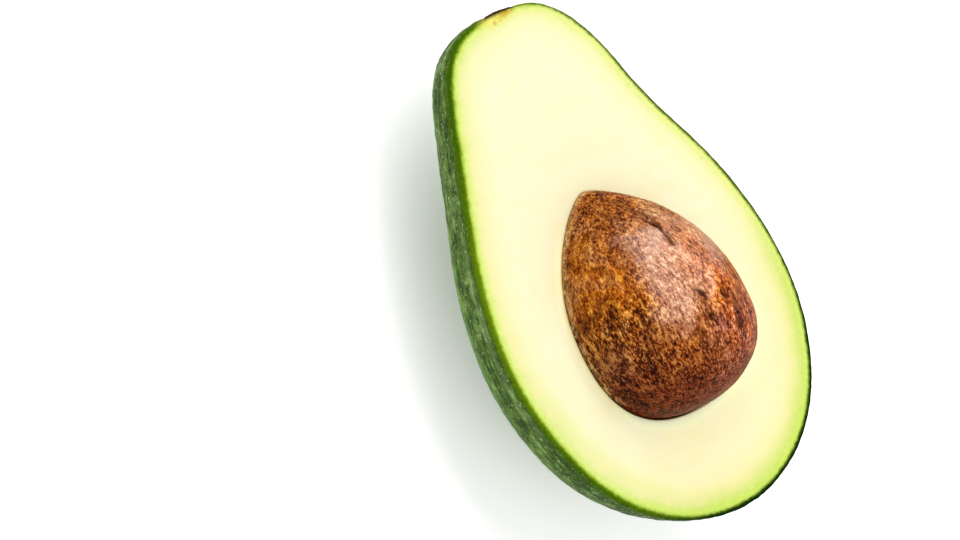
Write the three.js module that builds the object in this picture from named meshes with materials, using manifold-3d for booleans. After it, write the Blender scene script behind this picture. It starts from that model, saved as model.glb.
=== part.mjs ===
// Half an avocado, cut lengthwise, lying on its back with the cut face up.
// Four separate bodies: the leathery skin, the flesh with its seed cavity,
// the seed, and the half of the corky stem button left on the stem end.
// Units are millimetres. +Z is up, +Y runs towards the stem end, and the
// origin is on the table under the middle of the fruit.
import * as THREE from 'three';
import { mergeVertices } from 'three/addons/utils/BufferGeometryUtils.js';
import Module from 'manifold-3d';

// ---------------------------------------------------------------- dimensions
const DEPTH_RATIO = 0.95;      // depth of the half below the cut / its half width
const SKIN = 1.0;              // thickness of the skin
const GAP = 0.3;               // clearance kept between touching bodies
const FLAT = 1.2;              // depth of the resting spot, off the lowest point
const ROWS = 38;               // steps from the blossom end to the stem end
const SIDES = 26;              // steps around the outside, rim to rim

const STEM_X = 3.7;            // stem scar, sideways from the middle
const STEM_Y = 57.1;           // stem scar, along the fruit
const STEM_TURN = -0.055;      // turn of the stem button in the plane of the cut, radians
const BUTTON_R = 4.0;          // stem button radius
const BUTTON_H = 0.9;          // stem button thickness
const DIMPLE_R = 9.0;          // radius of the shallow dimple around the stem button
const DIMPLE_DEPTH = 0.15;     // depth of that dimple

// How full the cross-section is, at equal steps from the blossom end to the
// stem end: 2 is half an ellipse, and more is squarer at the shoulders.
const FULLNESS = [1.85, 1.9, 2.2, 2.13, 2.12, 2.16, 2.45, 3.1];

const SEED_BLUNT_Y = -34.6;    // blunt end of the seed
const SEED_TIP_Y = 15.9;       // pointed end of the seed
const SEED_X = [1.7, 0.3];     // sideways place of the seed's axis at its two ends
// radius of the seed at equal steps of angle from the blunt end to the tip
const SEED_R = [0, 6.9, 12.6, 16.5, 18.7, 19.4, 19.0, 17.3, 14.3, 10.4, 6.3, 2.7, 0];
const SEED_SIDES = 30;

// Outline of the cut face: control points of a closed uniform cubic B-spline,
// from the blossom end up the right side to the stem end and down the left.
const OUTLINE = [
  [0.38, -58.13], [12.65, -55.54], [23.13, -49.02], [30.34, -38.88],
  [34.97, -27.58], [36.43, -15.26], [35.28, -3.19], [32.63, 8.91],
  [28.06, 20.05], [24.10, 31.91], [21.78, 43.35], [14.94, 55.18],
  [3.34, 57.77], [-10.68, 57.11], [-17.88, 46.15], [-22.50, 34.58],
  [-27.72, 22.89], [-32.26, 11.22], [-35.37, -1.02], [-36.47, -13.59],
  [-34.49, -26.00], [-30.83, -38.27], [-23.25, -48.52], [-12.05, -55.16],
];

// ------------------------------------------------------------------ outline
// Point and outward normal of the outline at parameter t in 0..1.
function outlineAt(t) {
  const n = OUTLINE.length;
  const u = (((t % 1) + 1) % 1) * n;
  const j = Math.floor(u);
  const f = u - j;
  const w = [(1 - f) ** 3 / 6, (3 * f ** 3 - 6 * f * f + 4) / 6,
    (-3 * f ** 3 + 3 * f * f + 3 * f + 1) / 6, f ** 3 / 6];
  const d = [-((1 - f) ** 2) / 2, (3 * f * f - 4 * f) / 2,
    (-3 * f * f + 2 * f + 1) / 2, f * f / 2];
  let x = 0, y = 0, dx = 0, dy = 0;
  for (let k = 0; k < 4; k++) {
    const p = OUTLINE[(j + k - 1 + n) % n];
    x += w[k] * p[0]; y += w[k] * p[1];
    dx += d[k] * p[0]; dy += d[k] * p[1];
  }
  const len = Math.hypot(dx, dy);
  return { x, y, nx: dy / len, ny: -dx / len };
}

// The outline moved inwards by `inset`.
function insetAt(t, inset) {
  const p = outlineAt(t);
  return [p.x - p.nx * inset, p.y - p.ny * inset];
}

// Half the widest width decides how deep the half is before it is flattened.
let halfWidth = 0;
for (let i = 0; i <= 400; i++) {
  const s = i / 400;
  const r = insetAt(0.5 * s, 0);
  const l = insetAt(1 - 0.5 * s, 0);
  halfWidth = Math.max(halfWidth, Math.hypot(r[0] - l[0], r[1] - l[1]) / 2);
}
const CUT_Z = DEPTH_RATIO * halfWidth - FLAT;   // height of the cut face

// Fullness of the cross-section at s in 0..1, smooth between the stated ones.
function fullnessAt(s) {
  const m = FULLNESS.length - 1;
  const u = Math.min(s * m, m - 1e-9);
  const j = Math.floor(u);
  const f = u - j;
  const [a, b, c, d] = [j - 1, j, j + 1, j + 2].map(
    (k) => FULLNESS[Math.min(Math.max(k, 0), m)]);
  return b + 0.5 * f * (c - a + f * (2 * a - 5 * b + 4 * c - d
    + f * (3 * (b - c) + d - a)));
}

// The dimple pulls the surface inwards around the stem scar.
function dimple(x, z) {
  const r = Math.hypot(x - STEM_X, z - CUT_Z) / DIMPLE_R;
  return r >= 1 ? 0 : DIMPLE_DEPTH * (1 - r * r) ** 2;
}

// ------------------------------------------------- closed half-fruit solids
// Rows of points over the outside of the half fruit, `inset` inside the skin.
// Each cross-section hangs between the two sides of the outline, half an
// ellipse or a little squarer. Row 0 is the blossom end and the last row is the stem end. Nothing
// of it reaches below `floor`.
function bodyRows(inset, floor) {
  const rows = [];
  for (let i = 0; i <= ROWS; i++) {
    const s = 0.5 * (1 - Math.cos(Math.PI * i / ROWS));   // closer together at the ends
    const r = insetAt(0.5 * s, inset);
    const l = insetAt(1 - 0.5 * s, inset);
    const cx = (r[0] + l[0]) / 2, cy = (r[1] + l[1]) / 2;
    const hx = (r[0] - l[0]) / 2, hy = (r[1] - l[1]) / 2;
    const h = Math.hypot(hx, hy);
    const power = 2 / fullnessAt(s);
    const row = [];
    const steps = i === 0 || i === ROWS ? 0 : SIDES;
    for (let j = 0; j <= steps; j++) {
      const a = steps === 0 ? 0 : Math.PI * j / steps;
      const across = Math.sign(Math.cos(a)) * Math.abs(Math.cos(a)) ** power;
      const down = Math.abs(Math.sin(a)) ** power;
      const x = cx + hx * across;
      let y = cy + hy * across;
      const z = Math.max(CUT_Z - DEPTH_RATIO * h * down, floor);
      if (y > 30) y -= dimple(x, z);
      row.push([x, y, z]);
    }
    rows.push(row);
  }
  return rows;
}

// A solid half fruit with a flat top, `inset` inside the skin.
function solidHalf(inset, floor) {
  const rows = bodyRows(inset, floor);
  const points = rows.flat();
  const first = [];
  let n = 0;
  for (const row of rows) { first.push(n); n += row.length; }
  const faces = [];
  for (let j = 0; j < SIDES; j++) {
    faces.push([first[0], first[1] + j + 1, first[1] + j]);
    faces.push([first[ROWS], first[ROWS - 1] + j, first[ROWS - 1] + j + 1]);
  }
  for (let i = 1; i < ROWS - 1; i++) {
    for (let j = 0; j < SIDES; j++) {
      const a = first[i] + j, b = first[i + 1] + j;
      faces.push([a, b + 1, b], [a, a + 1, b + 1]);
    }
  }
  // the flat top, bounded by the rim: up the right side and down the left
  const rim = [];
  for (let i = 0; i <= ROWS; i++) rim.push(first[i]);
  for (let i = ROWS - 1; i > 0; i--) rim.push(first[i] + SIDES);
  const flat = rim.map((i) => new THREE.Vector2(points[i][0], points[i][1]));
  const top = THREE.ShapeUtils.triangulateShape(flat, []);
  for (const [p, q, r] of top) faces.push([rim[p], rim[q], rim[r]]);
  const g = new THREE.BufferGeometry();
  g.setAttribute('position', new THREE.Float32BufferAttribute(points.flat(), 3));
  g.setIndex(faces.flat());
  g.computeVertexNormals();
  return g;
}

// --------------------------------------------------------------------- seed
// Teardrop turned about its own axis, `grow` larger all round.
function seedGeometry(grow) {
  const n = SEED_R.length - 1;
  const len = SEED_TIP_Y - SEED_BLUNT_Y;
  const at = (i) => SEED_BLUNT_Y + len * 0.5 * (1 - Math.cos(Math.PI * i / n));
  const curve = new THREE.CatmullRomCurve3(
    SEED_R.map((r, i) => new THREE.Vector3(r, at(i), 0)), false, 'centripetal');
  const steps = 26;
  const profile = [];
  for (let i = 0; i <= steps; i++) {
    const p = curve.getPoint(i / steps);
    const t = curve.getTangent(i / steps);
    // outward normal of the profile in the radius / length plane
    let r = p.x + t.y * grow;
    let y = p.y - t.x * grow;
    if (i === 0) { r = 0; y = SEED_BLUNT_Y - grow; }
    if (i === steps) { r = 0; y = SEED_TIP_Y + grow; }
    profile.push(new THREE.Vector2(Math.max(r, 0), y));
  }
  const g = new THREE.LatheGeometry(profile, SEED_SIDES);
  g.deleteAttribute('normal');
  g.deleteAttribute('uv');
  // lean the axis so its two ends sit at their own sideways places
  const pos = g.attributes.position;
  for (let i = 0; i < pos.count; i++) {
    const u = (pos.getY(i) - SEED_BLUNT_Y) / len;
    pos.setX(i, pos.getX(i) + SEED_X[0] + (SEED_X[1] - SEED_X[0]) * u);
  }
  return clean(mergeVertices(g, 1e-4));
}

// Drop triangles that collapsed to a line on the axis.
function clean(g) {
  const idx = g.index.array;
  const keep = [];
  for (let i = 0; i < idx.length; i += 3) {
    const [a, b, c] = [idx[i], idx[i + 1], idx[i + 2]];
    if (a !== b && b !== c && a !== c) keep.push(a, b, c);
  }
  g.setIndex(keep);
  g.computeVertexNormals();
  return g;
}

// -------------------------------------------------------------- boolean cut
const wasm = await Module();
wasm.setup();

function toSolid(geometry) {
  const g = geometry.clone();
  g.deleteAttribute('normal');
  const m = mergeVertices(g, 1e-4);
  return new wasm.Manifold(new wasm.Mesh({
    numProp: 3,
    vertProperties: new Float32Array(m.attributes.position.array),
    triVerts: new Uint32Array(m.index.array),
  }));
}

function fromSolid(solid) {
  const mesh = solid.getMesh();
  const g = new THREE.BufferGeometry();
  g.setAttribute('position', new THREE.BufferAttribute(
    new Float32Array(mesh.vertProperties), 3));
  g.setIndex(Array.from(mesh.triVerts));
  g.computeVertexNormals();
  return g;
}

// --------------------------------------------------------------- stem button
// Half of a low corky disc, its straight side in the plane of the cut.
function buttonGeometry() {
  const half = new THREE.Shape();
  half.moveTo(-BUTTON_R, 0);
  const n = 12;
  for (let i = 1; i <= n; i++) {
    const a = Math.PI + Math.PI * i / n;
    half.lineTo(BUTTON_R * Math.cos(a), i === n ? 0 : BUTTON_R * Math.sin(a));
  }
  half.closePath();
  const g = new THREE.ExtrudeGeometry(half, { depth: BUTTON_H, bevelEnabled: false });
  g.deleteAttribute('normal');
  g.deleteAttribute('uv');
  const m = mergeVertices(g, 1e-4);
  m.computeVertexNormals();
  return m;
}

// ----------------------------------------------------------------- assembly
const group = new THREE.Group();

function add(name, geometry, color, roughness) {
  const mesh = new THREE.Mesh(geometry,
    new THREE.MeshStandardMaterial({ color, roughness, metalness: 0 }));
  mesh.name = name;
  group.add(mesh);
  return mesh;
}

// The peel: the whole half, less everything inside it, with the resting spot
// sliced off level at the height of the table and a round opening at the stem
// end, where the button sits straight on the flesh.
const table = new THREE.BoxGeometry(120, 160, 20);
table.deleteAttribute('uv');
table.translate(0, 0, -10);
const opening = new THREE.CylinderGeometry(BUTTON_R + GAP, BUTTON_R + GAP, 8, 32);
opening.deleteAttribute('uv');
opening.translate(STEM_X, STEM_Y, CUT_Z);
const skinSolid = toSolid(solidHalf(0, -Infinity))
  .subtract(toSolid(table))
  .subtract(toSolid(solidHalf(SKIN, SKIN * DEPTH_RATIO)))
  .subtract(toSolid(opening));
add('skin', fromSolid(skinSolid), 0x5f7f33, 0.42);

// The flesh fills the peel, with a cavity that follows the seed.
const cavity = seedGeometry(GAP + 0.05);
cavity.translate(0, 0, CUT_Z);
const inside = SKIN + GAP;
const fleshSolid = toSolid(solidHalf(inside, inside * DEPTH_RATIO))
  .subtract(toSolid(cavity));
add('flesh', fromSolid(fleshSolid), 0xeef2a0, 0.5);

const seed = add('seed', seedGeometry(0), 0xb5683c, 0.45);
seed.position.set(0, 0, CUT_Z);

// The disc lies in the opening of the peel with its axis along the fruit.
const button = add('stem_button', buttonGeometry(), 0x5a3f1f, 0.9);
button.rotation.set(Math.PI / 2, STEM_TURN, 0);
button.position.set(STEM_X, STEM_Y - DIMPLE_DEPTH - SKIN + BUTTON_H + 0.1, CUT_Z);

export default group;
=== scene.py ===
"""Half an avocado with its seed, lying on its back: the looks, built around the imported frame."""

import math

import bpy
import numpy as np
from mathutils import Matrix, Vector


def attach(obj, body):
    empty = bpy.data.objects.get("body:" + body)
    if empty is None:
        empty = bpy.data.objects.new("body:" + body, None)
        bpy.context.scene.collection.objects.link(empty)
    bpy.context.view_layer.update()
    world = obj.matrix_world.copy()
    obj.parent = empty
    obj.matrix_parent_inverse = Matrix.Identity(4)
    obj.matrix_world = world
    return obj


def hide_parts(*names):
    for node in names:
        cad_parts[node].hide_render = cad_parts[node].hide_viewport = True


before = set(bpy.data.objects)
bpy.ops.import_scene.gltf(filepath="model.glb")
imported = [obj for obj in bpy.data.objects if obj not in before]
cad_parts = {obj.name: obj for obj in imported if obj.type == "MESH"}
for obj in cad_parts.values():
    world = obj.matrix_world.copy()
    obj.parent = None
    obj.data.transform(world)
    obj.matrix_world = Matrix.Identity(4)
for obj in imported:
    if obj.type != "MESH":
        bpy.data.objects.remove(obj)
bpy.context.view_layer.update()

MM = 0.001

# ------------------------------------------------------------------ the shape, in millimetres
OUTLINE = np.array([
    [0.38, -58.13], [12.65, -55.54], [23.13, -49.02], [30.34, -38.88],
    [34.97, -27.58], [36.43, -15.26], [35.28, -3.19], [32.63, 8.91],
    [28.06, 20.05], [24.10, 31.91], [21.78, 43.35], [14.94, 55.18],
    [3.34, 57.77], [-10.68, 57.11], [-17.88, 46.15], [-22.50, 34.58],
    [-27.72, 22.89], [-32.26, 11.22], [-35.37, -1.02], [-36.47, -13.59],
    [-34.49, -26.00], [-30.83, -38.27], [-23.25, -48.52], [-12.05, -55.16]])
FULLNESS = np.array([1.85, 1.9, 2.2, 2.13, 2.12, 2.16, 2.45, 3.1])
DEPTH_RATIO = 0.95
SKIN = 1.0
FLAT = 1.2
STEM = (3.7, 57.1)
BUTTON_R = 4.0
DIMPLE_R, DIMPLE_DEPTH = 9.0, 0.15
SEED_Y = (-34.6, 15.9)
SEED_X = (1.7, 0.3)
SEED_R = np.array([0, 6.9, 12.6, 16.5, 18.7, 19.4, 19.0, 17.3, 14.3, 10.4, 6.3, 2.7, 0])

# How wide the dark peel shows in the cut, round the rim: from the blossom end
# up the right side (0 to 0.5) and down the left (0.5 to 1), in mm.
PEEL_T = np.array([0.00, 0.03, 0.07, 0.11, 0.15, 0.19, 0.23, 0.27, 0.31, 0.35, 0.37, 0.39, 0.43, 0.46, 0.485, 0.50,
                   0.515, 0.53, 0.545, 0.56, 0.58, 0.60, 0.64, 0.67, 0.70, 0.72, 0.76, 0.80, 0.84, 0.88, 0.90, 0.92,
                   0.94, 0.96, 0.98, 1.00])
PEEL_W = np.array([1.00, 0.82, 0.85, 0.70, 0.68, 0.66, 0.57, 0.62, 0.46, 0.76, 0.72, 0.46, 0.50, 0.36, 0.32, 0.48,
                   0.88, 1.25, 1.50, 1.62, 1.62, 1.68, 1.74, 1.72, 1.60, 1.50, 1.42, 1.32, 1.28, 1.38, 1.32, 1.08,
                   0.74, 0.70, 0.84, 1.00])
# How light the dark strip of peel is in the cut (0 to 1), round the rim in the same way.
TONE_T = np.array([0.00, 0.50, 0.52, 0.55, 0.58, 0.62, 0.66, 0.70, 0.74, 0.78, 0.82, 0.86, 0.90, 0.94, 0.97, 1.00])
TONE = np.array([0.20, 0.30, 0.30, 0.00, 0.05, 0.25, 0.50, 0.95, 0.90, 0.60, 0.40, 0.10, 0.25, 0.80, 0.50, 0.20])
# A little more fruit than the smooth outline has, round the rim in the same way, in mm.
MORE_T = np.array([0.00, 0.04, 0.08, 0.12, 0.16, 0.20, 0.24, 0.28, 0.32, 0.36, 0.40, 0.44, 0.48, 0.52, 0.56, 0.90, 0.94, 0.97, 1.00])
MORE = np.array([0.12, 0.18, 0.14, 0.22, 0.06, 0.04, 0.12, 0.14, 0.16, -0.10, 0.18, 0.08, 0.00, 0.06, 0.0, 0.0, 0.12, 0.20, 0.12])


def spline(ctrl, t):
    """Closed uniform cubic B-spline: points and unit outward normals."""
    n = len(ctrl)
    u = (np.asarray(t, float) % 1.0) * n
    j = np.floor(u).astype(int)
    f = (u - j)[:, None]
    w = [(1 - f) ** 3 / 6, (3 * f**3 - 6 * f * f + 4) / 6,
         (-3 * f**3 + 3 * f * f + 3 * f + 1) / 6, f**3 / 6]
    d = [-((1 - f) ** 2) / 2, (3 * f * f - 4 * f) / 2, (-3 * f * f + 2 * f + 1) / 2, f * f / 2]
    p = sum(w[k] * ctrl[(j + k - 1) % n] for k in range(4))
    g = sum(d[k] * ctrl[(j + k - 1) % n] for k in range(4))
    g /= np.linalg.norm(g, axis=1)[:, None]
    return p, np.c_[g[:, 1], -g[:, 0]]


def inset(t, by):
    """Points of the outline at t, moved inwards by `by` (one number or one for each t)."""
    p, n = spline(OUTLINE, t)
    return p - n * np.reshape(by, (-1, 1))


def fullness(s):
    m = len(FULLNESS) - 1
    u = np.clip(np.asarray(s, float) * m, 0, m - 1e-9)
    j = np.floor(u).astype(int)
    f = u - j
    a, b, c, d = (FULLNESS[np.clip(j + k, 0, m)] for k in (-1, 0, 1, 2))
    return b + 0.5 * f * (c - a + f * (2 * a - 5 * b + 4 * c - d + f * (3 * (b - c) + d - a)))


_s = np.linspace(0, 1, 401)
_half = np.linalg.norm(inset(0.5 * _s, 0) - inset(1 - 0.5 * _s, 0), axis=1).max() / 2
CUT = DEPTH_RATIO * _half - FLAT  # height of the cut face


def dimple(x, y, z):
    rr = np.hypot(x - STEM[0], z - CUT) / DIMPLE_R
    return np.where((rr < 1) & (y > 30), DIMPLE_DEPTH * (1 - np.minimum(rr, 1) ** 2) ** 2, 0)


def body(by, s, a):
    """Points of the half fruit's outside, `by` inside the skin: an array (rows, columns, 3)."""
    r, l = inset(0.5 * s, by), inset(1 - 0.5 * s, by)
    c, h = (r + l) / 2, (r - l) / 2
    w = np.linalg.norm(h, axis=1)
    q = (2 / fullness(s))[:, None]
    across = np.sign(np.cos(a))[None] * np.abs(np.cos(a))[None] ** q
    down = np.abs(np.sin(a))[None] ** q
    down[:, np.abs(np.sin(a)) < 1e-9] = 0
    out = np.empty((len(s), len(a), 3))
    out[..., :2] = c[:, None] + h[:, None] * across[..., None]
    out[..., 2] = CUT - DEPTH_RATIO * w[:, None] * down
    out[..., 1] -= dimple(out[..., 0], out[..., 1], out[..., 2])
    return out


def rim_points(by, t):
    """Points of the rim at parameter t, `by` inside the skin, at the height of the cut."""
    q = inset(t, by)
    q[:, 1] -= dimple(q[:, 0], q[:, 1], np.full(len(q), CUT))
    return np.c_[q, np.full(len(q), CUT)]


def smooth(x, a, b):
    u = np.clip((np.asarray(x, float) - a) / (b - a), 0, 1)
    return u * u * (3 - 2 * u)


# ------------------------------------------------------------------ noise, the same on every run
def _hash(ix, iy, iz, seed):
    h = (ix.astype(np.int64) * 0x8DA6B343 ^ iy.astype(np.int64) * 0xD8163841
         ^ iz.astype(np.int64) * 0xCB1AB31F ^ np.int64(seed * 0x9E3779B1)) & 0xFFFFFFFF
    h = h.astype(np.uint64)
    h ^= h >> np.uint64(16)
    h = (h * np.uint64(0x7FEB352D)) & np.uint64(0xFFFFFFFF)
    h ^= h >> np.uint64(15)
    h = (h * np.uint64(0x846CA68B)) & np.uint64(0xFFFFFFFF)
    h ^= h >> np.uint64(16)
    return h


_g = np.random.default_rng(11).normal(size=(256, 3))
_g /= np.linalg.norm(_g, axis=1)[:, None]


def perlin(p, seed=0):
    i = np.floor(p).astype(np.int64)
    f = p - i
    u = f * f * f * (f * (f * 6 - 15) + 10)
    total = np.zeros(len(p))
    for dx in (0, 1):
        for dy in (0, 1):
            for dz in (0, 1):
                g = _g[(_hash(i[:, 0] + dx, i[:, 1] + dy, i[:, 2] + dz, seed) & np.uint64(255)).astype(int)]
                dot = (g * (f - [dx, dy, dz])).sum(1)
                w = ((u[:, 0] if dx else 1 - u[:, 0]) * (u[:, 1] if dy else 1 - u[:, 1])
                     * (u[:, 2] if dz else 1 - u[:, 2]))
                total += w * dot
    return total * 1.6


def fbm(p, octaves=3, seed=0, gain=0.5):
    total, amp, norm = np.zeros(len(p)), 1.0, 0.0
    for k in range(octaves):
        total += amp * perlin(p * 2.0**k + 17.3 * k, seed + k)
        norm += amp
        amp *= gain
    return total / norm


def worley(p, seed=0):
    """Distance to the nearest and second nearest scattered point, and a random number per cell."""
    i = np.floor(p).astype(np.int64)
    f1 = np.full(len(p), 9.0)
    f2 = np.full(len(p), 9.0)
    rid = np.zeros(len(p))
    for dx in (-1, 0, 1):
        for dy in (-1, 0, 1):
            for dz in (-1, 0, 1):
                c = i + [dx, dy, dz]
                h = _hash(c[:, 0], c[:, 1], c[:, 2], seed)
                j = np.c_[(h & np.uint64(1023)).astype(float), ((h >> np.uint64(10)) & np.uint64(1023)).astype(float),
                          ((h >> np.uint64(20)) & np.uint64(1023)).astype(float)] / 1023.0
                d = np.linalg.norm(c + j - p, axis=1)
                near = d < f1
                f2 = np.where(near, f1, np.minimum(f2, d))
                rid = np.where(near, ((h >> np.uint64(7)) & np.uint64(4095)).astype(float) / 4095.0, rid)
                f1 = np.where(near, d, f1)
    return f1, f2, rid


# ------------------------------------------------------------------ mesh building
class Mesh:
    """Collects points and faces, then makes one smooth-shaded object."""

    def __init__(self):
        self.points, self.quads, self.tris, self.n = [], [], [], 0
        self.values = {}

    def add(self, pts, **values):
        pts = np.asarray(pts, float).reshape(-1, 3)
        first = self.n
        self.points.append(pts)
        self.n += len(pts)
        for key, v in values.items():
            self.values.setdefault(key, []).append((first, np.broadcast_to(np.asarray(v, float).ravel(), (len(pts),))))
        return first

    def value(self, key):
        out = np.zeros(self.n)
        for first, v in self.values.get(key, []):
            out[first:first + len(v)] = v
        return out

    def all_points(self):
        return np.vstack(self.points)

    def strip(self, a, b, flip=False):
        """Quads between two equally long rows of vertex numbers."""
        q = np.stack([a[:-1], b[:-1], b[1:], a[1:]], 1)
        self.quads.append(q[:, ::-1] if flip else q)

    def fan(self, tip, row, flip=False):
        t = np.stack([np.full(len(row) - 1, tip), row[:-1], row[1:]], 1)
        self.tris.append(t[:, ::-1] if flip else t)

    def make(self, name, points=None, **values):
        p = self.all_points() if points is None else points
        quads = np.vstack(self.quads) if self.quads else np.zeros((0, 4), int)
        tris = np.vstack(self.tris) if self.tris else np.zeros((0, 3), int)
        me = bpy.data.meshes.new(name)
        me.vertices.add(len(p))
        me.vertices.foreach_set("co", (p * MM).astype(np.float32).ravel())
        me.loops.add(quads.size + tris.size)
        me.loops.foreach_set("vertex_index", np.r_[quads.ravel(), tris.ravel()].astype(np.int32))
        me.polygons.add(len(quads) + len(tris))
        start = np.r_[np.arange(len(quads)) * 4, quads.size + np.arange(len(tris)) * 3]
        me.polygons.foreach_set("loop_start", start.astype(np.int32))
        me.update(calc_edges=True)
        me.validate()
        me.polygons.foreach_set("use_smooth", np.ones(len(me.polygons), bool))
        for key in list(self.values) + list(values):
            at = me.attributes.new(key, "FLOAT", "POINT")
            v = values[key] if key in values else self.value(key)
            at.data.foreach_set("value", np.asarray(v, np.float32))
        me.update()
        ob = bpy.data.objects.new(name, me)
        bpy.context.scene.collection.objects.link(ob)
        return ob

    def normals(self, p):
        n = np.zeros_like(p)
        for group in (self.quads, self.tris):
            if not group:
                continue
            f = np.vstack(group)
            a = p[f[:, 2]] - p[f[:, 0]]
            b = p[f[:, -1]] - p[f[:, 1]]
            c = np.cross(a, b)
            for k in range(f.shape[1]):
                np.add.at(n, f[:, k], c)
        return n / np.maximum(np.linalg.norm(n, axis=1), 1e-12)[:, None]


def close(row):
    return np.r_[row, row[0]]


# ------------------------------------------------------------------ rim: shared by skin and flesh
ROWS = 330
s_rows = np.linspace(0, 1, ROWS + 1)
t_rim = np.r_[0, 0.5 * s_rows[1:-1], 0.5, 1 - 0.5 * s_rows[1:-1][::-1]]


def around(values_t, values, t):
    """A smooth periodic curve through values given round the rim."""
    fine = np.arange(2000) / 2000
    v = np.interp(fine, values_t, values)
    k = np.exp(-0.5 * (np.arange(-60, 61) / 18.0) ** 2)
    k /= k.sum()
    v = np.convolve(np.r_[v[-60:], v, v[:60]], k, "valid")
    return np.interp(np.asarray(t) % 1.0, np.r_[fine, 1.0], np.r_[v, v[0]])


_rim0 = rim_points(0, t_rim)
stem_near = np.where(_rim0[:, 1] > 50, np.abs(_rim0[:, 0] - STEM[0]), 99.0)
# the outside is sunk under the stem button, whose section is only a thin scab
SINK = 0.34
rim_sink = SINK * (1 - smooth(stem_near, BUTTON_R - 0.35, BUTTON_R + 0.25))
rim_w = around(PEEL_T, PEEL_W, t_rim)
rim_w = rim_w * (1 + 0.10 * fbm(_rim0 / 4.0, 2, 91) + 0.05 * perlin(_rim0 / 1.1, 92))
rim_tone = around(TONE_T, TONE, t_rim)
rim_peel = np.clip(0.84 * rim_w, 0.32, 1.35)  # thickness of the peel in the cut
rim_peel = np.maximum(rim_peel, rim_sink + 0.22)


def knife(p):
    """The knife leaves the cut face very slightly uneven."""
    q = np.c_[p[:, 0], p[:, 1], np.zeros(len(p))]
    return 0.11 * fbm(q / 24.0, 2, 51) + 0.03 * fbm(q / np.array([3.2, 11.0, 1.0]), 2, 52)


# ------------------------------------------------------------------ skin
COLS = 250
a_cols = np.linspace(0, math.pi, COLS)


LUMPS = 0.16


def skin_relief(p, along, girth):
    """How far each point of the outside stands proud, in mm."""
    neck = smooth(p[:, 1], 0, 42)
    lumps = LUMPS * fbm(p / 19.0, 2, 3)
    q = p * np.array([1, 0.72, 1])
    pebbles = 0.075 * fbm(q / 2.1, 2, 7) + 0.035 * perlin(q / 0.9, 9)
    f1, f2, _ = worley(q / 2.5, 21)
    cells = 0.085 * (smooth(f2 - f1, 0.0, 0.45) - 0.6)
    ridge = np.c_[along * 0.14, girth, p[:, 0] * 0.06]  # ribs run from end to end
    ridges = (0.05 + 0.05 * neck) * perlin(ridge / 2.6, 33) + (0.04 + 0.03 * neck) * perlin(ridge / 0.9, 34)
    return lumps + pebbles + cells + ridges


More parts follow.
